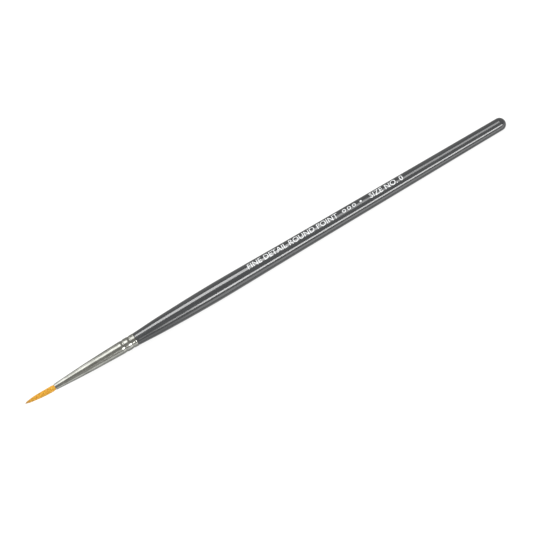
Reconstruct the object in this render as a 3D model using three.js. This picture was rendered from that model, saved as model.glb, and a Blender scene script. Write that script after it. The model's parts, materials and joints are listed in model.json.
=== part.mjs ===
// A fine detail brush for model making, lying at rest on a table.
// Millimetres, +Z up, +X from the hair's tip towards the tail of the handle.
// The origin is under the middle of the brush, on the table that it lies on.
//
// The brush is round, so each piece is turned about one axis. Stations along that axis are measured
// from the hair's tip, and radii are those of the true round piece. A turned solid here has flat sides
// that touch the true circle, with one of them facing straight down.

import * as THREE from "three";

// ---- Driving dimensions ----

const OVERALL_LENGTH = 185;
const HAIR_OUT_LENGTH = 11.3; // from the tip to the ferrule's mouth
const FERRULE_LENGTH = 31.2;
const FIT_GAP = 0.03; // between two pieces that are glued or pressed together

// The ferrule. Its cone is given by [distance from the mouth, radius].
const FERRULE_MOUTH_RADIUS = 1.05;
const FERRULE_REAR_RADIUS = 2.27;
const CONE_BETWEEN = [[6, 1.43], [13, 1.8], [20, 2.05], [26, 2.22], [28, FERRULE_REAR_RADIUS]];
const FERRULE_WALL = 0.22;
const CRIMP_DEPTH = 0.14;
const CRIMP_FROM_REAR = [4.4, 1.8]; // each crimp's deepest place, measured forward from the rear rim
const CRIMP_RUN_IN = 1.1; // the long slope on the hair's side of a crimp
const CRIMP_RUN_OUT = 0.35; // the short slope behind it
const CRIMP_FLOOR_SHARE = 0.25; // how much of each run is the flat floor

// The handle. Its shape is given by [distance behind the rear rim, radius], then by [station, radius].
const SHOULDER_STEP = 0.04; // how far the lacquered shoulder stays inside the ferrule's outside
const SHOULDER_TO_SWELL = [[3, 2.4], [8, 2.68], [15, 2.9], [23, 3.09]];
const SWELL_RADIUS = 3.18; // the thickest place of the handle
const SWELL_STATION = 74;
const LAND_LENGTH = 10; // the straight stretch behind the thickest place, on which the handle rests
const TAPER_BETWEEN = [[97, 2.92], [112, 2.76], [130, 2.62], [150, 2.46], [168, 2.32]];
const TAIL_RADIUS = 2.21;
const TAIL_DOME_LENGTH = 2.2;
const TENON_LENGTH = 14.5; // the bare wood inside the ferrule
const TENON_NOSE = 0.4; // the blunt cone on the tenon's end
const GLUE_FILM = 0.09; // between the tenon and the ferrule

// The hair. Its free part is given by [station, radius].
const HAIR_BUNDLE_RADIUS = 0.8; // the bundle where the mouth holds it
const HAIR_ROOT_LENGTH = 10.7; // the bundle hidden in the ferrule
const HAIR_BELLY_RADIUS = 1.04; // the hair swells a little just outside the mouth
const HAIR_TO_BELLY = [[0, 0.1], [1, 0.38], [3, 0.7], [5, 0.88], [7, 0.98], [8.6, 1.03]];
const BEND_GAP = 0.3; // between two stretches of hair that bend against each other
const POINT_PIVOT = 5.2; // where the fine point bends
const HAIR_LEAN = 0.28; // how far the tip has drifted off the axis, up and away from the user
const HAIR_LEAN_FROM = 9; // the station where the hair starts to drift
const HAIR_LEAN_RUN = 6.5; // the length over which it drifts
const HAIR_LEAN_ANGLE = Math.PI / 4; // the drift's direction, above the table

// The thread and the plug of glue that hold the hair.
const TIE_THREAD_DIAMETER = 0.18;
const TIE_TURNS = 3;
const TIE_PITCH = 0.216;
const TIE_FROM_BUTT = 1.5; // from the hair's butt to the middle of the tie
const TIE_PINCH = 0.1; // how deep the thread draws the bundle in
const TIE_GROOVE_SLOPE = 0.15; // the length over which the bundle narrows
const PLUG_AHEAD_OF_TIE = 3.2;
const PLUG_BEHIND_BUTT = 1.6;
const PLUG_DISH = 0.25; // how far the plug's back has sunk in its middle

// How finely the curved shapes are divided.
const SIDES = 24; // flat sides round each turned piece
const CONE_STEPS = 10;
const SWELL_STEPS = 12;
const TAPER_STEPS = 14;
const DOME_STEPS = 6;
const PLUG_STEPS = 4;
const HAIR_STEPS = 5;
const THREAD_STEPS_PER_TURN = 16;
const THREAD_SECTION_STEPS = 8;

// ---- Stations worked out from them ----

const MOUTH = HAIR_OUT_LENGTH;
const REAR_RIM = MOUTH + FERRULE_LENGTH;
const TENON_FRONT = REAR_RIM - TENON_LENGTH;
const HAIR_BUTT = MOUTH + HAIR_ROOT_LENGTH;
const LAND_END = SWELL_STATION + LAND_LENGTH;
const DOME_START = OVERALL_LENGTH - TAIL_DOME_LENGTH;
const BELLY_PIVOT = MOUTH - BEND_GAP - HAIR_BELLY_RADIUS; // where the hair bends at the mouth

// The line that touches the handle at its belly and at its tail, which is the line it rests on.
const REST_SLOPE = (SWELL_RADIUS - TAIL_RADIUS) / (DOME_START - SWELL_STATION);
const REST_TILT = Math.atan(REST_SLOPE);

// ---- Turning ----

// The corner radius of a polygon whose flat sides touch a unit circle.
const ACROSS_CORNERS = 1 / Math.cos(Math.PI / SIDES);

/** Turns [station, radius] pairs into a solid about the X axis, with a flat side facing down. */
function turned(profile) {
  const points = profile.map(([station, radius]) => new THREE.Vector2(radius * ACROSS_CORNERS, station));
  const solid = new THREE.LatheGeometry(points, SIDES, Math.PI / SIDES);
  return solid.rotateZ(-Math.PI / 2);
}

/** The radius at a station, read off a smooth curve through [station, radius] knots. */
function smoothRadius(knots) {
  const slopeAt = (i) => {
    const before = knots[Math.max(i - 1, 0)];
    const after = knots[Math.min(i + 1, knots.length - 1)];
    return (after[1] - before[1]) / (after[0] - before[0]);
  };
  return (station) => {
    let i = 1;
    while (i < knots.length - 1 && knots[i][0] < station) i++;
    const [start, startRadius] = knots[i - 1];
    const [end, endRadius] = knots[i];
    const span = end - start;
    const t = (station - start) / span;
    const blend = t * t * (3 - 2 * t);
    const leaving = t * (1 - t) * (1 - t) * span * slopeAt(i - 1);
    const arriving = t * t * (t - 1) * span * slopeAt(i);
    return startRadius * (1 - blend) + endRadius * blend + leaving + arriving;
  };
}

/** Evenly spaced stations from one end to the other, both ends included. */
function stations(from, to, steps) {
  return Array.from({ length: steps + 1 }, (_, i) => from + ((to - from) * i) / steps);
}

// ---- Ferrule: a seamless drawn cone with two crimps ----

const coneRadius = smoothRadius([
  [MOUTH, FERRULE_MOUTH_RADIUS],
  ...CONE_BETWEEN.map(([behind, radius]) => [MOUTH + behind, radius]),
  [REAR_RIM, FERRULE_REAR_RADIUS],
]);

/** One crimp, pressed round the cone: a long slope in, a narrow floor, and a short slope out. */
function crimp(deepest) {
  const [start, floorStart] = [deepest - CRIMP_RUN_IN, deepest - CRIMP_RUN_IN * CRIMP_FLOOR_SHARE];
  const [floorEnd, end] = [deepest + CRIMP_RUN_OUT * CRIMP_FLOOR_SHARE, deepest + CRIMP_RUN_OUT];
  return [
    [start, coneRadius(start)],
    [floorStart, coneRadius(floorStart) - CRIMP_DEPTH],
    [floorEnd, coneRadius(floorEnd) - CRIMP_DEPTH],
    [end, coneRadius(end)],
  ];
}

/** The ferrule's outside from a station to its rear rim: the cone, then the crimps. */
function ferruleOutside(from) {
  const firstCrimp = REAR_RIM - CRIMP_FROM_REAR[0] - CRIMP_RUN_IN;
  const cone = stations(from, firstCrimp, CONE_STEPS).slice(0, -1);
  const crimps = CRIMP_FROM_REAR.flatMap((fromRear) => crimp(REAR_RIM - fromRear));
  return [...cone.map((s) => [s, coneRadius(s)]), ...crimps, [REAR_RIM, FERRULE_REAR_RADIUS]];
}

/** The same line, moved in towards the axis. */
function inset(line, depth) {
  return line.map(([station, radius]) => [station, radius - depth]);
}

/** A tube between two lines that run along the same stations. */
function tube(outer, inner) {
  return turned([...outer, ...inner.toReversed(), outer[0]]);
}

function ferrule() {
  const outside = ferruleOutside(MOUTH);
  return tube(outside, inset(outside, FERRULE_WALL));
}

// ---- Handle: turned hardwood with a tenon that goes into the ferrule ----

const handleRadius = smoothRadius([
  [REAR_RIM + FIT_GAP, FERRULE_REAR_RADIUS - SHOULDER_STEP],
  ...SHOULDER_TO_SWELL.map(([behind, radius]) => [REAR_RIM + behind, radius]),
  [SWELL_STATION, SWELL_RADIUS],
]);

const tailRadius = smoothRadius([
  [LAND_END, SWELL_RADIUS - REST_SLOPE * LAND_LENGTH],
  ...TAPER_BETWEEN,
  [DOME_START, TAIL_RADIUS],
]);

/** The line just inside the ferrule's wall, along the tenon, with its crimps. */
function tenonLine(depth) {
  return inset(ferruleOutside(TENON_FRONT), FERRULE_WALL + depth);
}

function handle() {
  const tenon = tenonLine(2 * FIT_GAP + GLUE_FILM);
  const nose = [
    [TENON_FRONT - TENON_NOSE, 0],
    [TENON_FRONT - TENON_NOSE, tenon[0][1] - TENON_NOSE],
  ];
  const swell = stations(REAR_RIM + FIT_GAP, SWELL_STATION, SWELL_STEPS).map((s) => [s, handleRadius(s)]);
  const shoulder = [swell[0][0], tenon.at(-1)[1]];
  const taper = stations(LAND_END, DOME_START, TAPER_STEPS).map((s) => [s, tailRadius(s)]);
  const dome = stations(0, Math.PI / 2, DOME_STEPS)
    .slice(1, -1)
    .map((a) => [DOME_START + TAIL_DOME_LENGTH * Math.sin(a), TAIL_RADIUS * Math.cos(a)]);
  return turned([...nose, ...tenon, shoulder, ...swell, ...taper, ...dome, [OVERALL_LENGTH, 0]]);
}

/** The film of glue between the tenon and the ferrule. */
function tenonGlue() {
  return tube(tenonLine(FIT_GAP), tenonLine(FIT_GAP + GLUE_FILM));
}

// ---- Hair: one bundle, tied, glued at its butt, and free to bend outside the mouth ----

const TIE_MIDDLE = HAIR_BUTT - TIE_FROM_BUTT;
const TIE_GROOVE_HALF = (TIE_PITCH * TIE_TURNS + TIE_THREAD_DIAMETER) / 2 + FIT_GAP;
const TIE_GROOVE_RADIUS = HAIR_BUNDLE_RADIUS - TIE_PINCH;
const TIE_RADIUS = TIE_GROOVE_RADIUS * ACROSS_CORNERS + TIE_THREAD_DIAMETER / 2 + FIT_GAP;

function hairRoot() {
  const groove = [
    [TIE_MIDDLE - TIE_GROOVE_HALF - TIE_GROOVE_SLOPE, HAIR_BUNDLE_RADIUS],
    [TIE_MIDDLE - TIE_GROOVE_HALF, TIE_GROOVE_RADIUS],
    [TIE_MIDDLE + TIE_GROOVE_HALF, TIE_GROOVE_RADIUS],
    [TIE_MIDDLE + TIE_GROOVE_HALF + TIE_GROOVE_SLOPE, HAIR_BUNDLE_RADIUS],
  ];
  return turned([
    [MOUTH, 0],
    [MOUTH, HAIR_BUNDLE_RADIUS],
    ...groove,
    [HAIR_BUTT, HAIR_BUNDLE_RADIUS],
    [HAIR_BUTT, 0],
  ]);
}

/** The thread's path: a few close turns round the bundle. */
class TiePath extends THREE.Curve {
  getPoint(t, target = new THREE.Vector3()) {
    const angle = 2 * Math.PI * TIE_TURNS * t;
    const station = TIE_MIDDLE + TIE_PITCH * TIE_TURNS * (t - 0.5);
    return target.set(station, TIE_RADIUS * Math.cos(angle), TIE_RADIUS * Math.sin(angle));
  }
}

function tieThread() {
  const section = new THREE.Shape();
  section.absarc(0, 0, TIE_THREAD_DIAMETER / 2, 0, 2 * Math.PI);
  return new THREE.ExtrudeGeometry(section, {
    steps: THREAD_STEPS_PER_TURN * TIE_TURNS,
    curveSegments: THREAD_SECTION_STEPS,
    extrudePath: new TiePath(),
  });
}

/** The cured plug that locks the bundle's butt into the cone, blind at the back. */
function rootGlue() {
  const front = TIE_MIDDLE - PLUG_AHEAD_OF_TIE;
  const back = HAIR_BUTT + PLUG_BEHIND_BUTT;
  const outside = stations(front, back, PLUG_STEPS).map((s) => [s, coneRadius(s) - FERRULE_WALL - FIT_GAP]);
  const bore = HAIR_BUNDLE_RADIUS + FIT_GAP;
  const tieBore = TIE_RADIUS + TIE_THREAD_DIAMETER / 2 + FIT_GAP;
  const pocket = TIE_GROOVE_HALF + FIT_GAP;
  return turned([
    ...outside,
    [back - PLUG_DISH, 0],
    [HAIR_BUTT + FIT_GAP, 0],
    [HAIR_BUTT + FIT_GAP, bore],
    [TIE_MIDDLE + pocket, bore],
    [TIE_MIDDLE + pocket, tieBore],
    [TIE_MIDDLE - pocket, tieBore],
    [TIE_MIDDLE - pocket, bore],
    [front, bore],
    outside[0],
  ]);
}

const hairRadius = smoothRadius([...HAIR_TO_BELLY, [BELLY_PIVOT, HAIR_BELLY_RADIUS]]);

/** Moves each corner of a solid sideways, as the hair drifts off the axis in a smooth S. */
function leaned(solid) {
  const corners = solid.getAttribute("position");
  for (let i = 0; i < corners.count; i++) {
    const share = Math.min(Math.max((HAIR_LEAN_FROM - corners.getX(i)) / HAIR_LEAN_RUN, 0), 1);
    const drift = HAIR_LEAN * share * share * (3 - 2 * share);
    corners.setY(i, corners.getY(i) + drift * Math.cos(HAIR_LEAN_ANGLE));
    corners.setZ(i, corners.getZ(i) + drift * Math.sin(HAIR_LEAN_ANGLE));
  }
  return solid;
}

/** A stretch of hair with a round rear end, centred on the pivot that it bends about. */
function hairStretch(front, pivot) {
  const radius = hairRadius(pivot);
  const body = stations(front, pivot, HAIR_STEPS).map((s) => [s, hairRadius(s)]);
  const round = stations(0, Math.PI / 2, HAIR_STEPS)
    .slice(1, -1)
    .map((a) => [pivot + radius * Math.sin(a), radius * Math.cos(a)]);
  return leaned(turned([[front, 0], ...body, ...round, [pivot + radius, 0]]));
}

function hairBelly() {
  return hairStretch(POINT_PIVOT + hairRadius(POINT_PIVOT) + BEND_GAP, BELLY_PIVOT);
}

function hairPoint() {
  return hairStretch(0, POINT_PIVOT);
}

// ---- The brush ----

const lacquer = { color: 0x3a3c3d, roughness: 0.22, metalness: 0 };
const nickel = { color: 0xc9c8c0, roughness: 0.18, metalness: 1 };
const hair = { color: 0xe39a2c, roughness: 0.45, metalness: 0 };
const thread = { color: 0xe8e2d2, roughness: 0.8, metalness: 0 };
const resin = { color: 0xb98a3a, roughness: 0.3, metalness: 0 };

const PIECES = [
  ["handle", handle, lacquer],
  ["ferrule", ferrule, nickel],
  ["tenon_glue", tenonGlue, resin],
  ["root_glue", rootGlue, resin],
  ["tie_thread", tieThread, thread],
  ["hair_root", hairRoot, hair],
  ["hair_belly", hairBelly, hair],
  ["hair_point", hairPoint, hair],
];

const brush = new THREE.Group();
for (const [name, make, finish] of PIECES) {
  const mesh = new THREE.Mesh(make(), new THREE.MeshStandardMaterial(finish));
  mesh.name = name;
  brush.add(mesh);
}

// The brush tips back until its belly and its tail both touch the table.
brush.rotation.y = REST_TILT;
brush.position.x = (-OVERALL_LENGTH / 2) * Math.cos(REST_TILT);
brush.position.z = (SWELL_RADIUS + REST_SLOPE * SWELL_STATION) * Math.cos(REST_TILT);

export default brush;
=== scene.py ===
"""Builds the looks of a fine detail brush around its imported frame, and the studio it lies in.

Sizes are in millimetres, because that is how a brush is made, and they turn into metres where a surface
is worked out. A place on the brush is given by its station, which is the distance from the hair's tip
along the brush's own axis, by its radius from that axis, and by its angle round it. The angle is 0 on
top and grows towards the user's side.
"""

import json
import logging
import math
from collections.abc import Sequence
from dataclasses import dataclass
from enum import Enum

import bmesh
import bpy
import numpy as np
from mathutils import Matrix, Vector


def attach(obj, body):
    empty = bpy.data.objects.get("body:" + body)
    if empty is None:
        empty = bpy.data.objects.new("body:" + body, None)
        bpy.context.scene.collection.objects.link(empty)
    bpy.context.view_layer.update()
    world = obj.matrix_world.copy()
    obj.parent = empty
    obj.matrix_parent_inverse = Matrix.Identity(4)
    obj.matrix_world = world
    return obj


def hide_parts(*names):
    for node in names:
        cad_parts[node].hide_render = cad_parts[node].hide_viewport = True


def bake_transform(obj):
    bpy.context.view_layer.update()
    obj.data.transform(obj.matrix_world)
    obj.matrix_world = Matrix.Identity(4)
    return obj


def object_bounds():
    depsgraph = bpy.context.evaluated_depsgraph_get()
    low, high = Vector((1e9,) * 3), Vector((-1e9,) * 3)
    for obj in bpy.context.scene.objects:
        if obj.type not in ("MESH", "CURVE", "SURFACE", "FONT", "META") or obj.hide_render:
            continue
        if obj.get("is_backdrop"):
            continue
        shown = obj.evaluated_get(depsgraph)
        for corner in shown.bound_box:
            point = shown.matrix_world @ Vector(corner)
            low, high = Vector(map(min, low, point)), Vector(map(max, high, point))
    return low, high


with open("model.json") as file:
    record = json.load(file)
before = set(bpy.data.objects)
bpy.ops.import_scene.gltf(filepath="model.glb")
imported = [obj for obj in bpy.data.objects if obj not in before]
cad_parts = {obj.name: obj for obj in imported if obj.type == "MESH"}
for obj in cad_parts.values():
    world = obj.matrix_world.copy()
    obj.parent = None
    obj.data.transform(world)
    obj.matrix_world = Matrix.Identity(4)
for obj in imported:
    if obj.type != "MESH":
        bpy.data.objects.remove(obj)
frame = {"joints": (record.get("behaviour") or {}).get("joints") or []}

log = logging.getLogger("brush")

MM = 0.001  # metres
NOISE = "ShaderNodeTexNoise"
WAVE = "ShaderNodeTexWave"
BLEND = "ShaderNodeValToRGB"

Span = tuple[float, float]
Knots = tuple[Span, ...]
Colour = tuple[float, float, float, float]
Stops = Sequence[tuple[float, str]]
Sockets = dict[str | int, object]
Node = bpy.types.Node
Socket = bpy.types.NodeSocket
Tree = bpy.types.NodeTree
Piece = bpy.types.Object


class Body(Enum):
    """The rigid bodies that the pieces move with."""

    HANDLE = "handle"
    HAIR_BELLY = "hair_belly"
    HAIR_POINT = "hair_point"


class Slot(Enum):
    """The record's material slots."""

    WOOD = "lacquered_wood"
    NICKEL = "nickel_plate"
    GLUE = "cured_glue"
    THREAD = "thread"
    HAIR = "golden_hair"


# ---- Places on the brush ----


@dataclass(frozen=True)
class BrushAxis:
    """The brush's own axis in the row frame, with the two directions across it.

    The brush rests on its swell and on its thinner tail, so this axis drops a little towards the tail.
    """

    tip: np.ndarray
    along: np.ndarray
    upward: np.ndarray
    to_user: np.ndarray

    @classmethod
    def from_frame(cls, joints: list[dict], low: Vector, high: Vector) -> "BrushAxis":
        """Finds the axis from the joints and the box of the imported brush.

        The hinge that bends the hair sideways turns about the brush's own upward direction. The other
        hinge's pivot lies on the axis, and the tail's end is the furthest point of the box.

        Args:
            joints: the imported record's joints.
            low: the lowest corner of the brush's box.
            high: the highest corner of the brush's box.

        Returns:
            The axis, with its tip in metres.
        """
        by_name = {joint["name"]: joint for joint in joints}
        upward = np.array(by_name["point_bend"]["axis"])
        upward = upward / np.linalg.norm(upward)
        pivot = np.array(by_name["hair_bend"]["pos_m"])
        along = np.array([upward[2], 0.0, -upward[0]])
        tail = pivot + along * (high.x - pivot[0]) / along[0]
        length = (high.x - low.x) / along[0]
        return cls(tail - along * length, along, upward, np.cross(along, upward))

    def place(self, station: np.ndarray, radius: np.ndarray, angle: np.ndarray) -> np.ndarray:
        """Turns round coordinates into points: tip + along s + r (upward cos a + to_user sin a).

        Args:
            station: millimetres from the hair's tip.
            radius: millimetres from the axis.
            angle: radians from the top, towards the user.

        Returns:
            Points in metres, in the shape that the three arrays broadcast to, with one axis more.
        """
        return self.place_across(station, radius * np.cos(angle), radius * np.sin(angle))

    def place_across(self, station: np.ndarray, up: np.ndarray, out: np.ndarray) -> np.ndarray:
        """Turns a station and two distances across the axis, in millimetres, into points in metres.

        Args:
            station: millimetres from the hair's tip.
            up: millimetres from the axis, upward.
            out: millimetres from the axis, towards the user.

        Returns:
            Points in metres, in the shape that the three arrays broadcast to, with one axis more.
        """
        station, up, out = (part[..., None] for part in np.broadcast_arrays(station, up, out))
        return self.tip + MM * (station * self.along + up * self.upward + out * self.to_user)


@dataclass(frozen=True)
class SmoothRadius:
    """A radius that changes smoothly along the brush, through [station, radius] knots."""

    knots: Knots

    def __call__(self, station: np.ndarray) -> np.ndarray:
        """Reads the curve: a cubic between knots, whose slope at a knot is that of its two neighbours.

        Args:
            station: millimetres from the hair's tip.

        Returns:
            The radius at each station, in millimetres.
        """
        x, r = np.array(self.knots).T
        before = np.maximum(np.arange(len(x)) - 1, 0)
        after = np.minimum(np.arange(len(x)) + 1, len(x) - 1)
        slope = (r[after] - r[before]) / (x[after] - x[before])
        k = np.clip(np.searchsorted(x, station) - 1, 0, len(x) - 2)
        span = x[k + 1] - x[k]
        t = np.clip((station - x[k]) / span, 0.0, 1.0)
        blend = t * t * (3 - 2 * t)
        leaving = t * (1 - t) ** 2 * span * slope[k]
        arriving = t * t * (t - 1) * span * slope[k + 1]
        return r[k] * (1 - blend) + r[k + 1] * blend + leaving + arriving


def quarter_turn(steps: int) -> np.ndarray:
    """Angles from 0 to a quarter turn, in even steps."""
    return np.linspace(0.0, math.pi / 2, steps + 1)


# ---- Meshes ----


def grid_quads(rows: int, columns: int, close_rows: bool) -> np.ndarray:
    """Faces of a grid whose columns run round in a ring.

    The face at row i and column j has the corners (i, j), (i, j + 1), (i + 1, j + 1) and (i + 1, j).

    Args:
        rows: points from the first ring to the last.
        columns: points round each ring.
        close_rows: whether the last ring also joins the first.

    Returns:
        An array of four point numbers for each face.
    """
    i = np.arange(rows if close_rows else rows - 1)[:, None]
    j = np.arange(columns)[None, :]
    here, there = i * columns, (i + 1) % rows * columns
    right = (j + 1) % columns
    return np.stack([here + j, here + right, there + right, there + j], axis=-1).reshape(-1, 4)


def put_in_scene(name: str, data: bpy.types.ID) -> Piece:
    """Puts a new object with this data into the scene.

    Args:
        name: the object's name.
        data: its mesh, curve, light or camera.

    Returns:
        The object, at the origin.
    """
    made = bpy.data.objects.new(name, data)
    bpy.context.scene.collection.objects.link(made)
    return made


def points_of(mesh: bpy.types.Mesh) -> np.ndarray:
    """A mesh's points, one row each."""
    points = np.zeros(len(mesh.vertices) * 3)
    mesh.vertices.foreach_get("co", points)
    return points.reshape(-1, 3)


def new_piece(name: str, points: np.ndarray, faces: list, sharp_degrees: float = 40.0) -> Piece:
    """Makes an object from points and faces, smooth except at its sharp edges.

    Args:
        name: the piece's name.
        points: its points in metres, in the row frame.
        faces: lists of point numbers.
        sharp_degrees: an edge that turns by more than this stays sharp.

    Returns:
        The object, at the origin.
    """
    mesh = bpy.data.meshes.new(name)
    mesh.from_pydata(points.reshape(-1, 3), [], faces)
    mesh.polygons.foreach_set("use_smooth", np.ones(len(mesh.polygons), dtype=bool))
    mesh.set_sharp_from_angle(angle=math.radians(sharp_degrees))
    mesh.update()
    return put_in_scene(name, mesh)


def turned_piece(
    name: str, axis: BrushAxis, station: np.ndarray, radius: np.ndarray, sides: int
) -> Piece:
    """Turns a profile about the brush's axis: each profile point becomes a ring.

    A profile that starts and ends on the axis closes there in two poles. Any other profile closes on
    itself, as a tube with a wall does.

    Args:
        name: the piece's name.
        axis: the brush's axis.
        station: the profile's stations, in millimetres.
        radius: the profile's radii, in millimetres.
        sides: points round each ring.

    Returns:
        The turned object.
    """
    angle = np.linspace(0.0, 2 * math.pi, sides, endpoint=False)[None, :]
    has_poles = radius[0] == 0.0 and radius[-1] == 0.0
    if not has_poles:
        rings = axis.place(station[:, None], radius[:, None], angle)
        return new_piece(name, rings, grid_quads(len(station), sides, True).tolist())
    rings = axis.place(station[1:-1, None], radius[1:-1, None], angle).reshape(-1, 3)
    poles = axis.place(station[[0, -1]], np.zeros(2), np.zeros(2))
    front, back = len(rings), len(rings) + 1
    here = np.arange(sides)
    right = (here + 1) % sides
    last = len(rings) - sides
    front_fan = np.stack([np.full(sides, front), right, here], axis=-1)
    back_fan = np.stack([np.full(sides, back), last + here, last + right], axis=-1)
    faces = grid_quads(len(station) - 2, sides, False).tolist() + front_fan.tolist() + back_fan.tolist()
    return new_piece(name, np.vstack([rings, poles]), faces)


def capped_tubes(count: int, rows: int, sides: int) -> list[list[int]]:
    """Faces of a set of thin tubes, each a row of rings with a flat cap on both ends.

    Args:
        count: how many tubes there are.
        rows: rings along each tube.
        sides: points round each ring.

    Returns:
        Lists of point numbers; the tubes' points follow one another.
    """
    start = (np.arange(count) * rows * sides)[:, None, None]
    walls = (grid_quads(rows, sides, False)[None] + start).reshape(-1, 4).tolist()
    fronts = (np.arange(sides)[None, ::-1] + start[:, 0]).tolist()
    backs = (np.arange(sides)[None] + (rows - 1) * sides + start[:, 0]).tolist()
    return walls + fronts + backs


# ---- Finishes ----


def linear(colour: str) -> Colour:
    """Turns an sRGB hex colour into linear light.

    Args:
        colour: a hash and six hex digits.

    Returns:
        Red, green, blue and an alpha of 1.
    """
    channels = [int(colour[k : k + 2], 16) / 255 for k in (1, 3, 5)]
    light = [c / 12.92 if c <= 0.04045 else ((c + 0.055) / 1.055) ** 2.4 for c in channels]
    return (*light, 1.0)


def set_sockets(tree: Tree, node: Node, sockets: Sockets) -> None:
    """Gives a node's input sockets a value each, or links them to another node's output.

    Args:
        tree: the node tree that the node is in.
        node: the node.
        sockets: what each input socket gets, by name or number.
    """
    for name, given in sockets.items():
        if isinstance(given, Socket):
            tree.links.new(given, node.inputs[name])
        else:
            node.inputs[name].default_value = given


def add_node(
    tree: Tree, kind: str, sockets: Sockets | None = None, stops: Stops = (), **settings: str
) -> Node:
    """Adds a node with its settings and links.

    Args:
        tree: the node tree it goes in.
        kind: Blender's name for this kind of node.
        sockets: what each input socket gets, by name or number: a value, or another node's output.
        stops: the position and the sRGB hex colour of each stop, on a node that blends colours.
        **settings: the node's own settings.

    Returns:
        The node.
    """
    node = tree.nodes.new(kind)
    for name, value in settings.items():
        setattr(node, name, value)
    set_sockets(tree, node, sockets or {})
    for k, (position, colour) in enumerate(stops):
        stop = node.color_ramp.elements[k]
        stop.position = position
        stop.color = linear(colour)
    return node


@dataclass(frozen=True)
class Pattern:
    """A texture with cells of a real size: their length along the brush and their width across it."""

    kind: str
    cell_mm: Span
    sockets: Sockets

    def add(self, tree: Tree, output: str = "Fac", **settings: str) -> Socket:
        """Adds the texture on the piece's Object coordinates, at a scale of one over the cell's size.

        Args:
            tree: the material's node tree.
            output: which of the texture's outputs to read.
            **settings: the texture's own settings.

        Returns:
            The output.
        """
        place = add_node(tree, "ShaderNodeTexCoord").outputs["Object"]
        along, across = (1 / (size * MM) for size in self.cell_mm)
        mapping = add_node(tree, "ShaderNodeMapping", {"Vector": place, "Scale": (along, across, across)})
        sockets = {"Vector": mapping.outputs["Vector"], "Scale": 1.0} | self.sockets
        return add_node(tree, self.kind, sockets, **settings).outputs[output]


@dataclass(frozen=True)
class Relief:
    """A pattern that stands up from the surface."""

    pattern: Pattern
    strength: float
    depth_mm: float


@dataclass(frozen=True)
class Wear:
    """A pattern that changes the roughness: values between two limits become a roughness between two."""

    pattern: Pattern
    limits: Span
    roughness: Span


@dataclass(frozen=True)
class Finish:
    """A surface that a piece can be given.

    Its marks blend the colours of its stops. Its reliefs lie on one another.
    """

    name: str
    stops: Stops = ()
    marks: Pattern | None = None
    reliefs: tuple[Relief, ...] = ()
    wear: Wear | None = None
    metallic: float = 0.0
    roughness: float = 0.5
    ior: float = 1.5

    def read(self, tree: Tree, pattern: Pattern) -> Socket:
        """Adds a pattern and gives the output that counts."""
        return pattern.add(tree)

    def sockets(self, tree: Tree) -> Sockets:
        """Adds the nodes that drive the finish.

        Args:
            tree: the material's node tree.

        Returns:
            What each input socket of the Principled shader gets.
        """
        given: Sockets = {"Metallic": self.metallic, "Roughness": self.roughness, "IOR": self.ior}
        if self.marks:
            blended = add_node(tree, BLEND, {"Fac": self.read(tree, self.marks)}, self.stops)
            given["Base Color"] = blended.outputs["Color"]
        if self.wear:
            (low, high), (first, last) = self.wear.limits, self.wear.roughness
            worn = {"From Min": low, "From Max": high, "To Min": first, "To Max": last}
            worn["Value"] = self.read(tree, self.wear.pattern)
            given["Roughness"] = add_node(tree, "ShaderNodeMapRange", worn).outputs["Result"]
        for relief in self.reliefs:
            raised = {"Strength": relief.strength, "Distance": relief.depth_mm * MM}
            raised["Height"] = self.read(tree, relief.pattern)
            if "Normal" in given:
                raised["Normal"] = given["Normal"]
            given["Normal"] = add_node(tree, "ShaderNodeBump", raised).outputs["Normal"]
        return given

    def material(self) -> bpy.types.Material:
        """Builds the finish, unless it is there already.

        Returns:
            The Blender material.
        """
        made = bpy.data.materials.get(self.name)
        if made is None:
            made = bpy.data.materials.new(self.name)
            made.use_nodes = True
            tree = made.node_tree
            set_sockets(tree, tree.nodes["Principled BSDF"], self.sockets(tree))
        return made


@dataclass(frozen=True)
class DippedLacquer(Finish):
    """Pigmented lacquer, dipped in several coats over turned wood and left to level by itself.

    The eye gets a deep charcoal with long clean reflections, which waver a little where the coats have
    crept into the grain, and a hint of orange peel and fine handling scratches close up.
    """

    name: str = "dipped_charcoal_lacquer"
    stops: Stops = ((0.38, "#343638"), (0.68, "#3f4143"))
    marks: Pattern = Pattern(NOISE, (26.0, 0.55), {"Detail": 3.0, "Roughness": 0.55})
    peel: Pattern = Pattern(NOISE, (1.1, 1.1), {"Detail": 1.0})
    scratches: Pattern = Pattern(NOISE, (3.5, 0.06), {"Detail": 2.0, "Distortion": 0.4})
    reliefs: tuple[Relief, ...] = (
        Relief(marks, strength=0.5, depth_mm=0.003),
        Relief(peel, strength=0.5, depth_mm=0.0025),
    )
    wear: Wear = Wear(scratches, limits=(0.45, 0.78), roughness=(0.12, 0.22))
    coat: float = 1.0
    coat_roughness: float = 0.1

    def sockets(self, tree: Tree) -> Sockets:
        """Adds a clear coat that follows the relief of the coats under it.

        Args:
            tree: the material's node tree.

        Returns:
            What each input socket of the Principled shader gets.
        """
        given = super().sockets(tree)
        coat = {"Coat Weight": self.coat, "Coat Roughness": self.coat_roughness, "Coat IOR": self.ior}
        return given | coat | {"Coat Normal": given["Normal"]}


@dataclass(frozen=True)
class BareBeech(Finish):
    """Beech, turned to a tenon and left bare for the glue.

    The eye gets pale pinkish wood with long fine grain.
    """

    name: str = "bare_turned_beech"
    stops: Stops = ((0.35, "#b98d60"), (0.62, "#d9b68c"))
    marks: Pattern = Pattern(NOISE, (14.0, 0.35), {"Detail": 5.0, "Roughness": 0.6})
    reliefs: tuple[Relief, ...] = (Relief(marks, strength=0.6, depth_mm=0.03),)
    roughness: float = 0.7
    ior: float = 1.53


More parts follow.
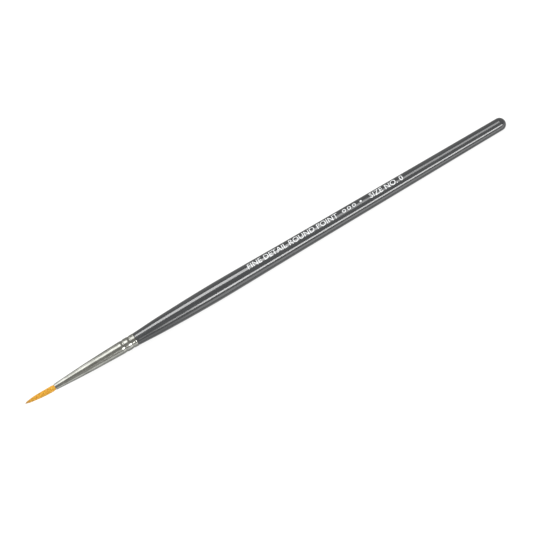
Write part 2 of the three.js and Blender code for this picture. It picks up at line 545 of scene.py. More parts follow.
@dataclass(frozen=True)
class DrawnNickel(Finish):
    """Nickel plated over brass that was drawn to a seamless cone, then barrel polished.

    The eye gets a pale silver mirror, softened by lines that run the way it was drawn and dulled by
    clouds of handling. Real drawing lines are finer; these are as coarse as they need to be to show.
    """

    name: str = "drawn_nickel_plate"
    stops: Stops = ((0.35, "#9c9d97"), (0.6, "#b8b9b3"))
    marks: Pattern = Pattern(NOISE, (2.4, 2.4), {"Detail": 4.0, "Roughness": 0.65})
    lines: Pattern = Pattern(NOISE, (9.0, 0.09), {"Detail": 3.0, "Roughness": 0.6})
    reliefs: tuple[Relief, ...] = (Relief(lines, strength=0.5, depth_mm=0.0005),)
    wear: Wear = Wear(marks, limits=(0.3, 0.7), roughness=(0.22, 0.14))
    metallic: float = 1.0


@dataclass(frozen=True)
class GoldenFilament(Finish):
    """Nylon filament, dyed golden and ground to a taper.

    The eye gets a warm translucent gold, with each hair a little lighter or darker than the next, and
    browner towards the ground tips.
    """

    name: str = "dyed_nylon_filament"
    stops: Stops = ((0.0, "#eea72e"), (1.0, "#f4bb3a"))
    tip: str = "#d9a04a"
    brown_share: float = 0.28
    light_depth_mm: float = 0.25
    roughness: float = 0.6
    ior: float = 1.53

    def sockets(self, tree: Tree) -> Sockets:
        """Reads two attributes of the hairs' mesh.

        "tint" is one random number for each hair, and "share" runs from 0 at its tip to 1.

        Args:
            tree: the material's node tree.

        Returns:
            What each input socket of the Principled shader gets.
        """
        tint = add_node(tree, "ShaderNodeAttribute", attribute_name="tint").outputs["Fac"]
        share = add_node(tree, "ShaderNodeAttribute", attribute_name="share").outputs["Fac"]
        hair = add_node(tree, BLEND, {"Fac": tint}, self.stops)
        ground = {"Value": share, "From Min": 0.0, "From Max": self.brown_share}
        reach = add_node(tree, "ShaderNodeMapRange", ground, interpolation_type="SMOOTHSTEP")
        mixed = {"Factor": reach.outputs["Result"], "A": linear(self.tip), "B": hair.outputs["Color"]}
        colour = add_node(tree, "ShaderNodeMix", mixed, data_type="RGBA")
        return super().sockets(tree) | {
            "Base Color": colour.outputs["Result"],
            "Subsurface Weight": 0.3,
            "Subsurface Radius": (1.0, 0.6, 0.2),
            "Subsurface Scale": self.light_depth_mm * MM,
        }


@dataclass(frozen=True)
class PadInk(Finish):
    """White ink, pad printed on the lacquer.

    The eye gets a flat chalky white that is a touch thin and grey in places.
    """

    name: str = "pad_printed_white_ink"
    stops: Stops = ((0.3, "#b9bcbe"), (0.5, "#f1f3f3"))
    marks: Pattern = Pattern(NOISE, (0.16, 0.16), {"Detail": 2.0})


@dataclass(frozen=True)
class SpunThread(Finish):
    """Waxed cotton thread, laid from two plies of slanting fibres.

    The eye gets a dull cream cord with fine slanting fibres in its plies.
    """

    name: str = "spun_waxed_cotton"
    stops: Stops = ((0.0, "#b8aa8b"), (1.0, "#efe7d2"))
    marks: Pattern = Pattern(WAVE, (0.012, 0.012), {"Scale": 0.3, "Distortion": 2.0, "Detail": 1.0})
    reliefs: tuple[Relief, ...] = (Relief(marks, strength=0.6, depth_mm=0.004),)
    roughness: float = 0.85
    sheen: float = 0.3

    def read(self, tree: Tree, pattern: Pattern) -> Socket:
        """Adds the fibres as slanting bands."""
        return pattern.add(tree, bands_direction="DIAGONAL")

    def sockets(self, tree: Tree) -> Sockets:
        """Adds the sheen of loose cotton ends."""
        return super().sockets(tree) | {"Sheen Weight": self.sheen}


@dataclass(frozen=True)
class CuredGlue(Finish):
    """Two-part glue, poured in and cured.

    The eye gets glossy amber with a scatter of trapped bubbles.
    """

    name: str = "cured_amber_glue"
    stops: Stops = ((0.1, "#a06c28"), (0.45, "#c79446"))
    marks: Pattern = Pattern("ShaderNodeTexVoronoi", (0.3, 0.3), {})
    reliefs: tuple[Relief, ...] = (Relief(marks, strength=0.3, depth_mm=0.02),)
    roughness: float = 0.25
    ior: float = 1.55

    def read(self, tree: Tree, pattern: Pattern) -> Socket:
        """Adds the bubbles and gives the distance from the middle of each."""
        return pattern.add(tree, "Distance")


@dataclass(frozen=True)
class MattPaper(Finish):
    """A seamless roll of matt white paper, lit until it glows.

    The eye gets a plain pale ground with hardly any shadow.
    """

    name: str = "matt_white_paper"
    colour: str = "#6d6d6c"
    light: str = "#ffffff"
    glow: float = 0.92
    roughness: float = 0.9
    shine: float = 0.2

    def sockets(self, tree: Tree) -> Sockets:
        """Sets a plain colour and a glow.

        Args:
            tree: the material's node tree.

        Returns:
            What each input socket of the Principled shader gets.
        """
        return super().sockets(tree) | {
            "Base Color": linear(self.colour),
            "Specular IOR Level": self.shine,
            "Emission Color": linear(self.light),
            "Emission Strength": self.glow,
        }


# ---- The brush's pieces ----

MOUTH = 11.3  # the ferrule's front end
REAR_RIM = 42.5  # the ferrule's back end
TAIL = 185.0
TIE = 20.5  # the middle of the thread's turns
BUTT = 22.0  # the hair's back end
TENON_FRONT = 28.0


@dataclass(frozen=True)
class Ferrule:
    """The seamless drawn cone that holds the hair to the handle, with two crimps near its rear rim."""

    axis: BrushAxis
    outside: SmoothRadius = SmoothRadius(
        ((MOUTH, 1.05), (17.3, 1.43), (24.3, 1.8), (31.3, 2.05))
        + ((37.3, 2.22), (39.3, 2.27), (REAR_RIM, 2.27))
    )
    wall: float = 0.22
    crimps: tuple[float, ...] = (38.1, 40.7)
    crimp_run_in: float = 1.1
    crimp_run_out: float = 0.35
    crimp_depth: float = 0.14
    rim_bead: float = 0.03
    rim_bead_width: float = 0.2
    collar: float = 2.0
    cone_rings: int = 40
    collar_rings: int = 90
    edge_steps: int = 8
    sides: int = 128

    def groove(self, station: np.ndarray) -> np.ndarray:
        """How deep the crimps press the wall in: half of depth times (1 + cos), across each crimp.

        The rolling wheel leaves a long slope on the hair's side of a crimp and a short one behind it.

        Args:
            station: millimetres from the hair's tip.

        Returns:
            The depth at each station, in millimetres.
        """
        depth = np.zeros_like(station)
        for bottom in self.crimps:
            away = station - bottom
            run = np.where(away < 0.0, self.crimp_run_in, self.crimp_run_out)
            share = np.clip(np.abs(away) / run, 0.0, 1.0)
            depth = depth + self.crimp_depth * (1 + np.cos(math.pi * share)) / 2
        return depth

    def bead(self, station: np.ndarray) -> np.ndarray:
        """How far the metal stands up along the rolled rear rim, in millimetres: a bell curve."""
        away = (station - REAR_RIM + self.rim_bead_width) / self.rim_bead_width
        return self.rim_bead * np.exp(-(away**2))

    def outer(self, station: np.ndarray) -> np.ndarray:
        """The outside's radius, with its crimps and its rim.

        Args:
            station: millimetres from the hair's tip.

        Returns:
            The radius at each station, in millimetres.
        """
        return self.outside(station) - self.groove(station) + self.bead(station)

    def build(self) -> Piece:
        """Turns the wall: outside, a half-round rear rim, inside, and a half-round lip at the mouth.

        The rings stand closer together in the collar, which starts a little ahead of the first crimp.

        Returns:
            The ferrule.
        """
        half = self.wall / 2
        collar_start = self.crimps[0] - self.collar
        cone = np.linspace(MOUTH + half, collar_start, self.cone_rings)
        collar = np.linspace(collar_start, REAR_RIM - half, self.collar_rings)[1:]
        station = np.concatenate([cone, collar])
        turn = quarter_turn(self.edge_steps)[1:-1] * 2
        rim_middle = self.outer(REAR_RIM - half) - half
        lip_middle = self.outer(MOUTH + half) - half
        rim = REAR_RIM - half + half * np.sin(turn)
        lip = MOUTH + half - half * np.sin(turn)
        stations = np.concatenate([station, rim, station[::-1], lip])
        outer = self.outer(station)
        inner = (outer - self.wall)[::-1]
        round_edge = half * np.cos(turn)
        radii = np.concatenate([outer, rim_middle + round_edge, inner, lip_middle - round_edge])
        piece = turned_piece("ferrule_shell", self.axis, stations, radii, self.sides)
        piece.data.materials.append(DrawnNickel().material())
        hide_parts("ferrule")
        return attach(piece, Body.HANDLE.value)


@dataclass(frozen=True)
class Handle:
    """The turned handle, lacquered outside and bare on the tenon that the ferrule hides."""

    axis: BrushAxis
    ferrule: Ferrule
    outside: SmoothRadius = SmoothRadius(
        ((42.6, 2.255), (45.5, 2.4), (50.5, 2.68), (57.5, 2.9), (65.5, 3.09), (74.0, 3.18))
        + ((84.0, 3.091), (97.0, 2.92), (112.0, 2.76), (130.0, 2.62), (150.0, 2.46))
        + ((168.0, 2.32), (182.8, 2.21))
    )
    tenon_gap: float = 0.15
    nose_chamfer: float = 0.4
    shoulder: float = 0.12
    lacquer_overlap: float = 0.6
    dome_length: float = 2.2
    tenon_rings: int = 70
    shoulder_steps: int = 6
    body_rings: int = 150
    dome_steps: int = 20
    sides: int = 128

    def profile(self) -> tuple[np.ndarray, np.ndarray, float]:
        """Works out the profile: nose, tenon, rounded shoulder, swell, taper and half-ellipse dome.

        Returns:
            Stations, radii, and the station where the lacquer starts.
        """
        tenon = np.linspace(TENON_FRONT, REAR_RIM, self.tenon_rings)
        tenon_radius = self.ferrule.outer(tenon) - self.ferrule.wall - self.tenon_gap
        start = self.outside.knots[0][0]
        end, end_radius = self.outside.knots[-1]
        edge = quarter_turn(self.shoulder_steps)
        shoulder = start + self.shoulder * (1 - np.cos(edge))
        shoulder_radius = self.outside(start + self.shoulder) - self.shoulder * (1 - np.sin(edge))
        swell = np.linspace(start + self.shoulder, end, self.body_rings)[1:]
        dome = quarter_turn(self.dome_steps)[1:-1]
        stations = [
            [TENON_FRONT - self.nose_chamfer] * 2,
            tenon,
            [start, *shoulder],
            swell,
            end + self.dome_length * np.sin(dome),
            [TAIL],
        ]
        radii = [
            [0.0, tenon_radius[0] - self.nose_chamfer],
            tenon_radius,
            [tenon_radius[-1], *shoulder_radius],
            self.outside(swell),
            end_radius * np.cos(dome),
            [0.0],
        ]
        return np.concatenate(stations), np.concatenate(radii), start - self.lacquer_overlap

    def build(self) -> Piece:
        """Turns the handle and gives its tenon bare wood.

        Returns:
            The handle.
        """
        stations, radii, lacquer_start = self.profile()
        piece = turned_piece("handle_turned", self.axis, stations, radii, self.sides)
        piece.data.materials.append(DippedLacquer().material())
        piece.data.materials.append(BareBeech().material())
        centres = np.zeros(len(piece.data.polygons) * 3)
        piece.data.polygons.foreach_get("center", centres)
        station = (centres.reshape(-1, 3) - self.axis.tip) @ self.axis.along / MM
        piece.data.polygons.foreach_set("material_index", (station < lacquer_start).astype(np.int32))
        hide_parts("handle")
        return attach(piece, Body.HANDLE.value)


@dataclass(frozen=True)
class Lettering:
    """Generic words and rings, printed in white along the side of the handle that faces the user."""

    axis: BrushAxis
    handle: Handle
    middle_angle: float = math.radians(9.0)
    cap_height: float = 2.1
    ink: float = 0.012
    sink: float = 0.004
    boldness: float = 0.004
    curve_steps: int = 4
    cuts: int = 10
    doubles: float = 1e-4
    kind: Span = (86.6, 121.0)
    size: Span = (133.4, 146.0)
    ring_middles: tuple[float, ...] = (123.6, 125.5, 127.4, 130.0)
    ring_radii: tuple[float, ...] = (0.68, 0.68, 0.68, 0.36)
    ring_line: float = 0.28
    ring_sides: int = 40

    def wrapped(self, name: str, mesh: bpy.types.Mesh) -> Piece:
        """Wraps a flat mesh round the handle: its x runs along, its y round, and its z stands off.

        Args:
            name: the piece's name.
            mesh: the flat mesh, in millimetres, with its x counted from the hair's tip.

        Returns:
            The printed piece.
        """
        station, rise, height = points_of(mesh).T
        radius = self.handle.outside(station)
        angle = self.middle_angle - rise / radius
        points = self.axis.place(station, radius + height, angle)
        mesh.vertices.foreach_set("co", points.ravel())
        mesh.update()
        mesh.materials.append(PadInk().material())
        piece = put_in_scene(name, mesh)
        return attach(piece, Body.HANDLE.value)

    def words(self, name: str, text: str, span: Span) -> Piece:
        """Sets a line of words, fits it between two stations, and prints it.

        It is cut into bands along its height, so that it can follow the round of the handle.

        Args:
            name: the piece's name.
            text: the words.
            span: the stations where the line starts and ends.

        Returns:
            The printed piece.
        """
        curve = bpy.data.curves.new(name, "FONT")
        curve.body = text
        curve.extrude = (self.ink + self.sink) / 2
        curve.resolution_u = self.curve_steps
        curve.offset = self.boldness
        holder = put_in_scene(name + "_type", curve)
        flat = bpy.data.meshes.new_from_object(holder.evaluated_get(bpy.context.evaluated_depsgraph_get()))
        bpy.data.objects.remove(holder)
        points = points_of(flat)
        low, high = points.min(0), points.max(0)
        points[:, 0] = span[0] + (points[:, 0] - low[0]) * (span[1] - span[0]) / (high[0] - low[0])
        points[:, 1] = ((points[:, 1] - low[1]) / (high[1] - low[1]) - 0.5) * self.cap_height
        points[:, 2] += (self.ink - self.sink) / 2
        flat.vertices.foreach_set("co", points.ravel())
        work = bmesh.new()
        work.from_mesh(flat)
        bmesh.ops.remove_doubles(work, verts=work.verts, dist=self.doubles)
        for height in np.linspace(-0.5, 0.5, self.cuts + 1)[1:-1] * self.cap_height:
            everything = [*work.verts, *work.edges, *work.faces]
            bmesh.ops.bisect_plane(work, geom=everything, plane_co=(0, height, 0), plane_no=(0, 1, 0))
        work.to_mesh(flat)
        work.free()
        return self.wrapped(name, flat)

    def rings(self, name: str) -> Piece:
        """Prints the row of rings: each is a small flat section carried round a circle.

        Args:
            name: the piece's name.

        Returns:
            The printed piece.
        """
        line, top, bottom = self.ring_line, self.ink, -self.sink
        section = np.array([[0.0, top], [0.0, bottom], [-line, bottom], [-line, top]])
        corners, sides = len(section), self.ring_sides
        turn = np.linspace(0.0, 2 * math.pi, sides, endpoint=False)
        middle = np.array(self.ring_middles)[:, None, None]
        reach = np.array(self.ring_radii)[:, None, None] + section[:, :1]
        height = np.broadcast_to(section[:, 1:], (len(middle), corners, sides))
        points = np.stack([middle + reach * np.cos(turn), reach * np.sin(turn), height], axis=-1)
        start = (np.arange(len(middle)) * corners * sides)[:, None, None]
        faces = (grid_quads(corners, sides, True) + start).reshape(-1, 4)
        flat = bpy.data.meshes.new(name)
        flat.from_pydata(points.reshape(-1, 3), [], faces.tolist())
        return self.wrapped(name, flat)

    def build(self) -> list[Piece]:
        """Prints both lines of words with the rings between them.

        Returns:
            The printed pieces.
        """
        return [
            self.words("print_kind", "FINE DETAIL ROUND POINT", self.kind),
            self.rings("print_rings"),
            self.words("print_size", "SIZE NO. 0", self.size),
        ]


@dataclass(frozen=True)
class Tuft:
    """The bundle of tapered hairs, from its glued butt to its point.

    It is cut in two across the belly.
    """

    axis: BrushAxis
    bundle: SmoothRadius = SmoothRadius(
        ((0.0, 0.1), (1.0, 0.38), (3.0, 0.7), (5.0, 0.88), (7.0, 0.98), (8.6, 1.03))
        + ((9.96, 1.05), (10.7, 1.0), (MOUTH, 0.82), (13.0, 0.8), (BUTT, 0.8))
    )
    hairs: int = 560
    sides: int = 5
    hair_radius: float = 0.05
    packed_radius: float = 0.82
    taper: float = 0.15
    uneven_ends: float = 1.8
    angle_scatter: float = 0.05
    wave_length: Span = (5.0, 9.0)
    swing: float = 0.12
    swell: float = 0.03
    strays: int = 7
    stray_reach: Span = (0.1, 0.32)
    tie_half_width: float = 0.6
    tie_pinch: float = 0.1
    lean: float = 0.28
    lean_from: float = 9.0
    lean_run: float = 6.5
    hidden_rings: tuple[float, ...] = (BUTT, 21.2, TIE, 19.8, 14.0)
    inside_mouth: float = 1.0
    belly_rings: int = 8
    point_rings: int = 11
    end_gap: float = 0.01
    cut: float = 7.5
    bend_overlap: float = 0.2
    point_bend_end: float = 3.7
    sharp_degrees: float = 80.0
    seed: int = 20

    def drawn_bundle(self, station: np.ndarray) -> np.ndarray:
        """The bundle's radius, pinched by the thread by half of pinch times (1 + cos).

        Args:
            station: millimetres from the hair's tip.

        Returns:
            The radius at each station, in millimetres.
        """
        share = np.clip(np.abs(station - TIE) / self.tie_half_width, 0.0, 1.0)
        return self.bundle(station) - self.tie_pinch * (1 + np.cos(math.pi * share)) / 2

    def hair_lines(self, station: np.ndarray, ends: np.ndarray) -> tuple[np.ndarray, np.ndarray, np.ndarray]:
        """Works out where each hair runs and how thick it is.

        A hair's place across the bundle is that of a sunflower's seed: its distance grows with the
        square root of its number and its angle by the golden angle. It keeps that share of the bundle's
        radius all the way, wavers a little, and drifts off the axis in a smooth S. Its own radius grows
        with the square root of the bundle's, up to the full one, and fades to nothing at its own end.
        The last few hairs stray outwards, by the square of how far they are out of the ferrule.

        Args:
            station: millimetres from the hair's tip, one row for each hair.
            ends: the station of each hair's own end.

        Returns:
            Distances up and towards the user, and the hair's radius, all in millimetres.
        """
        chance = np.random.default_rng(self.seed)
        number = np.arange(self.hairs)
        share = np.sqrt((number + 0.5) / self.hairs)[:, None]
        golden_angle = math.pi * (3 - math.sqrt(5))
        angle = (number * golden_angle + chance.normal(0.0, self.angle_scatter, self.hairs))[:, None]
        length, phase = chance.uniform(*self.wave_length, (2, self.hairs, 1))
        strays = np.zeros((self.hairs, 1))
        strays[-self.strays :] = chance.uniform(*self.stray_reach, (self.strays, 1))
        free = np.clip((MOUTH - station) / MOUTH, 0.0, 1.0)
        wave = 2 * math.pi * station / length
        angle = angle + self.swing * free * np.sin(wave + phase)
        bundle = self.drawn_bundle(station)
        width = self.hair_radius * np.sqrt(np.clip(bundle / self.packed_radius, 0.0, 1.0))
        width = width * np.clip(1 - np.exp((ends[:, None] - station) / self.taper), 0.0, 1.0)
        reach = (bundle - width) * share * (1 + self.swell * np.sin(wave - phase) * free)
        reach = reach + strays * free**2
        leaned = np.clip((self.lean_from - station) / self.lean_run, 0.0, 1.0)
        drift = self.lean * leaned**2 * (3 - 2 * leaned) / math.sqrt(2)
        return reach * np.cos(angle) + drift, reach * np.sin(angle) - drift, width

    def hair_ends(self) -> np.ndarray:
        """Picks each hair's own end: hairs nearer the outside end sooner.

        Returns:
            The station of each hair's end, in millimetres.
        """
        chance = np.random.default_rng(self.seed + 1)
        share = (np.arange(self.hairs) + 0.5) / self.hairs
        return self.uneven_ends * share**2 * chance.uniform(0.0, 1.0, self.hairs)

    def strands(self, name: str, station: np.ndarray) -> Piece:
        """Makes one closed tube for each hair: a ring of a few points at every station.

        Args:
            name: the piece's name.
            station: one row of stations for each hair, in millimetres, from back to front.

        Returns:
            The piece, with the attributes that the finish reads.
        """
        count, rows = station.shape
        up, out, width = self.hair_lines(station, self.hair_ends())
        turn = -np.linspace(0.0, 2 * math.pi, self.sides, endpoint=False)
        ring_up = up[..., None] + width[..., None] * np.cos(turn)
        ring_out = out[..., None] + width[..., None] * np.sin(turn)
        rings = self.axis.place_across(station[..., None], ring_up, ring_out)
        piece = new_piece(name, rings, capped_tubes(count, rows, self.sides), self.sharp_degrees)
        chance = np.random.default_rng(self.seed + 2)
        tint = np.repeat(chance.uniform(0.0, 1.0, count), rows * self.sides)
        share = np.repeat(station.ravel() / MOUTH, self.sides)
        for attribute, values in (("tint", tint), ("share", share)):
            layer = piece.data.attributes.new(attribute, "FLOAT", "POINT")
            layer.data.foreach_set("value", values.astype(np.float32))
        piece.data.materials.append(GoldenFilament().material())
        return piece

    def build(self) -> list[Piece]:
        """Makes the two halves of the tuft and bakes each one's placement into its mesh.

        Returns:
            The back half and the front half.
        """
        shown = np.linspace(MOUTH + self.inside_mouth, self.cut, self.belly_rings)
        back_rings = np.concatenate([self.hidden_rings, shown])
        back = self.strands("hair_back", np.tile(back_rings, (self.hairs, 1)))
        run = self.hair_ends()[:, None] + self.end_gap - self.cut
        front = self.strands("hair_front", self.cut + run * np.linspace(0.0, 1.0, self.point_rings))
        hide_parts("hair_root", "hair_belly")
        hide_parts("hair_point")
        self.bend(back, MOUTH, self.cut + self.bend_overlap)
        point_bend_start = self.cut - self.bend_overlap
        self.bend(front, point_bend_start, self.point_bend_end)
        return [back, front]

    def bend(self, piece: Piece, start: float, end: float) -> None:
        """Places a half's bend stations on the axis, and bakes the half's placement into its mesh.

        Args:
            piece: the half.
            start: the station where the bend starts.
            end: the station where it ends.
        """
        first, last = self.axis.place(np.array([start, end]), np.zeros(2), np.zeros(2)).tolist()
        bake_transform(piece)


@dataclass(frozen=True)
class Fixings:
    """What holds the hair and the handle inside the ferrule: two bodies of glue, and a thread."""

    axis: BrushAxis
    ferrule: Ferrule
    gap: float = 0.03
    film: float = 0.09
    plug_front: float = 17.3
    plug_back: float = 23.6
    plug_dish: float = 0.25
    bore: float = 0.83
    tie_bore: float = 0.95
    tie_pocket: float = 0.47
    tie_radius: float = 0.826
    turns: int = 3
    pitch: float = 0.216
    ply_radius: float = 0.045
    twists: int = 30
    rings_in_a_twist: int = 24
    ply_sides: int = 8
    film_rings: int = 90
    plug_rings: int = 24
    dish_rings: int = 8
    sharp_degrees: float = 80.0
    sides: int = 96

    def inside(self, station: np.ndarray, gap: float) -> np.ndarray:
        """The radius just inside the ferrule's wall, a gap away from it, in millimetres."""
        return self.ferrule.outer(station) - self.ferrule.wall - gap

    def tenon_glue(self) -> Piece:
        """Turns the film of glue round the tenon: a thin tube that follows the ferrule and its crimps.

        Returns:
            The film.
        """
        station = np.linspace(TENON_FRONT, REAR_RIM, self.film_rings)
        stations = np.concatenate([station, station[::-1]])
        outer, inner = self.inside(station, self.gap), self.inside(station, self.gap + self.film)
        radii = np.concatenate([outer, inner[::-1]])
        film = turned_piece("glue_film", self.axis, stations, radii, self.sides)
        return self.fixed(film, "tenon_glue", CuredGlue())

    def root_glue(self) -> Piece:
        """Turns the plug of glue round the hair's butt: bored for hair and thread, sunk at its back.

        The back sinks to its middle as one minus the square of the share of its radius.

        Returns:
            The plug.
        """
        outside = np.linspace(self.plug_front, self.plug_back, self.plug_rings)
        rim = self.inside(self.plug_back, self.gap)
        share = np.linspace(1.0, 0.0, self.dish_rings)[1:]
        butt, pocket_back, pocket_front = BUTT + self.gap, TIE + self.tie_pocket, TIE - self.tie_pocket
        stations = [
            [butt, butt, pocket_back, pocket_back, pocket_front, pocket_front, self.plug_front],
            outside,
            self.plug_back - self.plug_dish * (1 - share**2),
        ]
        radii = [
            [0.0, self.bore, self.bore, self.tie_bore, self.tie_bore, self.bore, self.bore],
            self.inside(outside, self.gap),
            rim * share,
        ]
        plug = turned_piece(
            "glue_plug", self.axis, np.concatenate(stations), np.concatenate(radii), self.sides
        )
        return self.fixed(plug, "root_glue", CuredGlue())

    def tie_thread(self) -> Piece:
        """Winds the thread: a helix about the hair, with two plies that twist about the helix.

        A ply's middle is the helix's point, moved by its own radius towards the twist's angle. Both the
        twist and the ply's round section lie in the plane of the radius and the brush's axis.

        Returns:
            The thread.
        """
        t = np.linspace(0.0, 1.0, self.rings_in_a_twist * self.twists)[None, :, None]
        ply = np.array([0.0, math.pi])[:, None, None]
        around = np.linspace(0.0, 2 * math.pi, self.ply_sides, endpoint=False)
        twist = 2 * math.pi * self.twists * t + ply
        station = TIE + self.pitch * self.turns * (t - 0.5)
        station = station + self.ply_radius * (np.sin(twist) + np.sin(around))
        radius = self.tie_radius + self.ply_radius * (np.cos(twist) + np.cos(around))
        rings = self.axis.place(station, radius, 2 * math.pi * self.turns * t)
        faces = capped_tubes(len(ply), t.shape[1], self.ply_sides)
        plies = new_piece("thread_plies", rings, faces, self.sharp_degrees)
        return self.fixed(plies, "tie_thread", SpunThread())

    def fixed(self, piece: Piece, node: str, finish: Finish) -> Piece:
        """Dresses a piece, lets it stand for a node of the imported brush, and fixes it to the handle.

        Args:
            piece: the piece.
            node: the node that it replaces.
            finish: its finish.

        Returns:
            The same piece.
        """
        piece.data.materials.append(finish.material())
        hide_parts(node)
        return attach(piece, Body.HANDLE.value)

    def build(self) -> list[Piece]:
        """Makes the three hidden pieces."""
        return [self.tenon_glue(), self.root_glue(), self.tie_thread()]


# ---- The studio ----


@dataclass(frozen=True)
class Softbox:
    """A rectangular lamp that fills a band of elevations, as seen from the brush, and faces it.

    An elevation is an angle above the horizon, in degrees: 0 is in front of the brush, 90 is overhead,
    and more lies behind it. The ends are places along the row's X, in metres. At a radiance of 1, the
    lamp is as bright as white paper that it alone surrounds.
    """

    name: str
    elevations: Span
    ends: Span
    radiance: float
    reach: float = 0.6

    def hang(self) -> Piece:
        """Hangs the lamp. A flat emitter's power is pi times its area times its radiance.

        Returns:
            The lamp, which the camera doesn't see.
        """
        low, high = (math.radians(elevation) for elevation in self.elevations)
        middle = (low + high) / 2
        light = bpy.data.lights.new(self.name, "AREA")
        light.shape = "RECTANGLE"
        light.size = self.ends[1] - self.ends[0]
        light.size_y = 2 * self.reach * math.tan((high - low) / 2)
        light.energy = math.pi * light.size * light.size_y * self.radiance
        made = put_in_scene(self.name, light)
        outward = Vector((0.0, -math.cos(middle), math.sin(middle)))
        right = Vector((1.0, 0.0, 0.0))
        turn = Matrix((right, outward.cross(right), outward)).transposed()
        place = outward * self.reach + right * (sum(self.ends) / 2)
        made.matrix_world = Matrix.Translation(place) @ turn.to_4x4()
        made.visible_camera = False
        return made


@dataclass(frozen=True)
class Card:
    """A level sheet, in metres, from end to end along X and from side to side along Y."""

    name: str
    ends: Span
    sides: Span
    height: float

    def lay(self, finish: bpy.types.Material) -> Piece:
        """Lays the sheet.

        Args:
            finish: its material.

        Returns:
            The sheet, marked as part of the stage.
        """
        (left, right), (near, far) = self.ends, self.sides
        outline = [(left, near), (right, near), (right, far), (left, far)]
        sheet = new_piece(self.name, np.array([(x, y, self.height) for x, y in outline]), [[0, 1, 2, 3]])
        sheet.data.materials.append(finish)
        sheet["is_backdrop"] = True
        return sheet


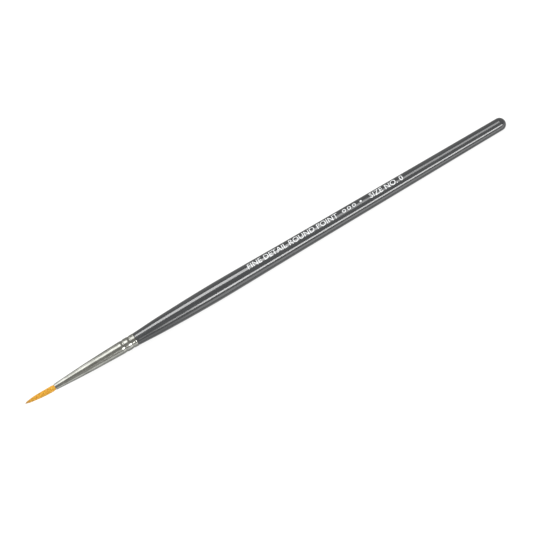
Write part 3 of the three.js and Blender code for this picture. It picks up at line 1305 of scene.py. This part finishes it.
@dataclass(frozen=True)
class Studio:
    """A sheet of white paper under soft lights, with the camera that looks down across the brush.

    Its sizes are in metres. The ferrule and the hair mirror lamps of their own, and so does the handle,
    as if each had been lit by itself. The handle's front strip fades out towards the ferrule.
    """

    axis: BrushAxis
    low: Vector
    high: Vector
    view_elevation: float = math.radians(45.0)
    climb: float = math.radians(30.59)
    focal_mm: float = 200.0
    sensor_mm: float = 36.0
    width_in_view: float = 0.1771
    middle_off_centre: Span = (-0.0003, 0.0013)
    nearest_in_view: float = 0.01
    white: str = "#ffffff"
    warm_white: str = "#fffdf8"
    light_on_pieces: float = 0.5
    light_in_reflections: float = 0.38
    light_in_view: float = 1.0
    paper: Card = Card("paper", (-3.0, 3.0), (-3.0, 3.0), -0.00003)
    glowing_cards: tuple[tuple[Card, float], ...] = (
        (Card("bounce_card", (-1.0, -0.045), (-0.37, -0.1), -0.1), 1.0),
        (Card("bright_card", (-0.045, 1.0), (-0.37, -0.1), -0.1), 1.7),
        (Card("shaded_card", (-1.0, 1.0), (-0.1, 0.37), -0.1), 0.5),
    )
    front_lamps: tuple[Softbox, ...] = (
        Softbox("ferrule_softbox", (79.0, 119.0), (-0.5, 0.0), 2.0),
        Softbox("ferrule_rear_strip", (124.0, 156.0), (-0.5, -0.12), 1.2),
    )
    handle_lamps: tuple[Softbox, ...] = (
        Softbox("handle_softbox", (83.0, 113.0), (-0.2, 0.05), 5.9),
        Softbox("tail_softbox", (74.0, 101.0), (0.05, 0.3), 3.1),
        Softbox("front_strip_fade", (6.0, 24.0), (-0.1, -0.06), 2.9),
        Softbox("front_strip_end", (6.0, 24.0), (-0.14, -0.1), 1.2),
    )
    shared_lamp: Softbox = Softbox("front_strip", (6.0, 24.0), (-0.06, 0.6), 7.6)
    fill_lamp: Softbox = Softbox("overhead_fill", (50.0, 110.0), (-0.4, 0.4), 2.3)

    def camera(self) -> None:
        """Sets the camera square to the brush, and rolls it until the brush climbs to the right."""
        back = Vector((0.0, -math.cos(self.view_elevation), math.sin(self.view_elevation)))
        along = Vector(self.axis.along)
        flat = (along - along.dot(back) * back).normalized()
        across = back.cross(flat)
        right = flat * math.cos(self.climb) - across * math.sin(self.climb)
        up = back.cross(right)
        turn = Matrix((right, up, back)).transposed()
        distance = self.width_in_view * self.focal_mm / self.sensor_mm
        middle = Vector(self.axis.tip) + along * (self.high.x - self.low.x) / 2
        aim = middle - right * self.middle_off_centre[0] - up * self.middle_off_centre[1]
        lens = bpy.data.cameras.new("camera")
        lens.lens = self.focal_mm
        lens.sensor_width = self.sensor_mm
        lens.clip_start = self.nearest_in_view
        made = put_in_scene("camera", lens)
        made.matrix_world = Matrix.Translation(aim + back * distance) @ turn.to_4x4()
        bpy.context.scene.camera = made

    def room(self) -> None:
        """Fills the room: white to the camera, soft light on the pieces, and grey in reflections."""
        made = bpy.data.worlds.new("room")
        made.use_nodes = True
        tree = made.node_tree
        tree.nodes.clear()
        ray = add_node(tree, "ShaderNodeLightPath").outputs
        lit, mirrored, seen = (
            add_node(tree, "ShaderNodeBackground", {"Color": linear(colour), "Strength": strength})
            for colour, strength in (
                (self.white, self.light_on_pieces),
                (self.warm_white, self.light_in_reflections),
                (self.white, self.light_in_view),
            )
        )
        by_mirror = {0: ray["Is Glossy Ray"], 1: lit.outputs[0], 2: mirrored.outputs[0]}
        unseen = add_node(tree, "ShaderNodeMixShader", by_mirror)
        by_eye = {0: ray["Is Camera Ray"], 1: unseen.outputs[0], 2: seen.outputs[0]}
        shown = add_node(tree, "ShaderNodeMixShader", by_eye)
        add_node(tree, "ShaderNodeOutputWorld", {"Surface": shown.outputs[0]})
        bpy.context.scene.world = made

    def glow(self, strength: float) -> bpy.types.Material:
        """A plain glowing surface that throws no light of its own on the pieces.

        Args:
            strength: its brightness.

        Returns:
            The material.
        """
        made = bpy.data.materials.new("glowing_card")
        made.use_nodes = True
        tree = made.node_tree
        tree.nodes.clear()
        glow = add_node(tree, "ShaderNodeEmission", {"Strength": strength})
        add_node(tree, "ShaderNodeOutputMaterial", {"Surface": glow.outputs[0]})
        made.cycles.emission_sampling = "NONE"
        return made

    def hang(self, lamps: tuple[Softbox, ...], pieces: list[Piece]) -> None:
        """Hangs lamps that only show as reflections, in some of the pieces or in all.

        Args:
            lamps: the lamps.
            pieces: the pieces that mirror them; none stands for all.
        """
        receivers = bpy.data.collections.new("mirrors_" + lamps[0].name) if pieces else None
        for piece in pieces:
            receivers.objects.link(piece)
        for lamp in lamps:
            hung = lamp.hang()
            hung.light_linking.receiver_collection = receivers
            hung.visible_diffuse = False

    def build(self, pieces: list[Piece]) -> None:
        """Lays the paper and the glowing cards, and hangs the lights.

        Args:
            pieces: the brush's pieces.
        """
        self.paper.lay(MattPaper().material()).visible_glossy = False
        for card, strength in self.glowing_cards:
            laid = card.lay(self.glow(strength))
            laid.visible_camera = False
            laid.visible_diffuse = False
            laid.visible_shadow = False
        front = [piece for piece in pieces if piece.name.startswith(("ferrule", "hair"))]
        self.hang(self.front_lamps, front)
        self.hang(self.handle_lamps, [piece for piece in pieces if piece not in front])
        self.hang((self.shared_lamp,), [])
        self.fill_lamp.hang().visible_glossy = False
        self.room()
        bpy.context.scene.view_settings.view_transform = "Standard"


def corners(box: tuple[Vector, Vector]) -> list[list[float]]:
    """A box's lowest and highest corner as plain lists."""
    return [list(corner) for corner in box]


def main() -> None:
    """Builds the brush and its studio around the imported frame."""
    logging.basicConfig(level=logging.INFO, format="%(name)s: %(message)s")
    cad_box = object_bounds()
    axis = BrushAxis.from_frame(frame["joints"], *cad_box)
    studio = Studio(axis, *cad_box)
    studio.camera()
    ferrule = Ferrule(axis)
    handle = Handle(axis, ferrule)
    pieces = [
        ferrule.build(),
        handle.build(),
        *Lettering(axis, handle).build(),
        *Tuft(axis).build(),
        *Fixings(axis, ferrule).build(),
    ]
    for piece in pieces:
        log.info("%s has %d faces", piece.name, len(piece.data.polygons))
    studio.build(pieces)


if __name__ == "__main__":
    main()
